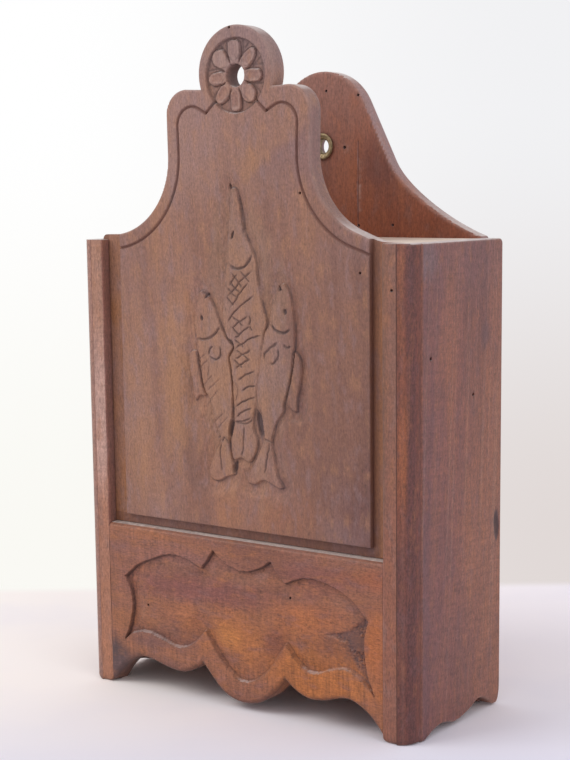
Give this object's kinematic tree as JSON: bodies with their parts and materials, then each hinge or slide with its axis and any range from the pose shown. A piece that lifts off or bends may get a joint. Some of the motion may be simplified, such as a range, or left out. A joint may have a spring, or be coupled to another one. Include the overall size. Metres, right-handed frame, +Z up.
{
  "type": "wall flour box",
  "caption": "Tall wooden wall box with a carved front panel that slides up in grooves over a scalloped apron, and a shaped back board with a brass hanging eyelet.",
  "frame": {"origin": "on the floor plane, under the middle of the box's bounding box", "axes": "+X to the right of the carved front, +Y from the front to the back board, +Z up"},
  "size_m": [0.23, 0.0966, 0.3836],
  "materials": {
    "panel_wood": "satin",
    "apron_wood": "satin",
    "side_wood": "satin",
    "strip_wood": "satin",
    "inside_wood": "matte",
    "brass": "satin",
    "iron": "matte"
  },
  "bodies": {
    "carcass": {"side_board_right": "side_wood", "side_board_left": "side_wood", "back_board": "inside_wood", "floor_board": "inside_wood", "top_board": "inside_wood", "front_strip_right": "strip_wood", "front_strip_left": "strip_wood", "apron_board": "apron_wood", "guide_strip_right": "inside_wood", "guide_strip_left": "inside_wood", "hanging_eyelet": "brass", "floor_nail_1": "iron", "floor_nail_2": "iron", "floor_nail_3": "iron", "top_nail_1": "iron", "top_nail_2": "iron", "top_nail_3": "iron", "guide_brad_right_1": "iron", "guide_brad_right_2": "iron", "guide_brad_right_3": "iron", "guide_brad_left_1": "iron", "guide_brad_left_2": "iron", "guide_brad_left_3": "iron"},
    "panel": {"sliding_panel": "panel_wood"}
  },
  "joints": [
    {"name": "panel_slide", "type": "slide", "parent": "carcass", "child": "panel", "axis": [0, 0, 1], "range_m": [0, 0.16]}
  ]
}
